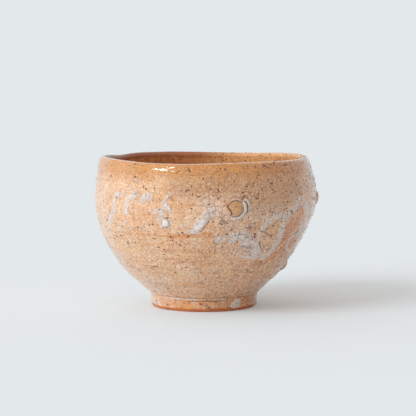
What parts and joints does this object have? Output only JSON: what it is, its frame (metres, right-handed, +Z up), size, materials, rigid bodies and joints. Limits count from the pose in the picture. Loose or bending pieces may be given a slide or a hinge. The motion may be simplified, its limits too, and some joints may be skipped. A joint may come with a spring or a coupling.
{
  "type": "tea bowl",
  "caption": "Hand-thrown ceramic tea bowl on a low foot ring, with a crackled amber glaze, white slip runs and small applied clay pellets.",
  "frame": {"origin": "centre of the foot ring's resting face, on the table", "axes": "+Z up out of the bowl's mouth, -Y towards the side that the picture shows, +X to its right"},
  "size_m": [0.1211, 0.1203, 0.0819],
  "materials": {
    "clay": "bare fired clay",
    "foot_clay": "bare fired clay, wiped smooth",
    "outer_glaze": "satin crackled glaze",
    "inner_glaze": "glossy glaze",
    "slip": "white slip under clear glaze",
    "pellet": "clay under amber glaze"
  },
  "bodies": {
    "root": {"clay_wall": "clay", "foot_ring": "foot_clay", "outer_glaze": "outer_glaze", "inner_glaze": "inner_glaze", "foot_glaze": "outer_glaze", "slip_arch_left": "slip", "slip_arch": "slip", "slip_hook": "slip", "slip_tail": "slip", "slip_drop": "slip", "slip_streak": "slip", "slip_halo": "slip", "slip_sheet": "slip", "slip_loop": "slip", "slip_strand": "slip", "slip_edge": "slip", "slip_foot_spot": "slip", "pellet_front": "pellet", "pellet_side": "pellet", "pellet_low": "pellet"}
  },
  "joints": []
}
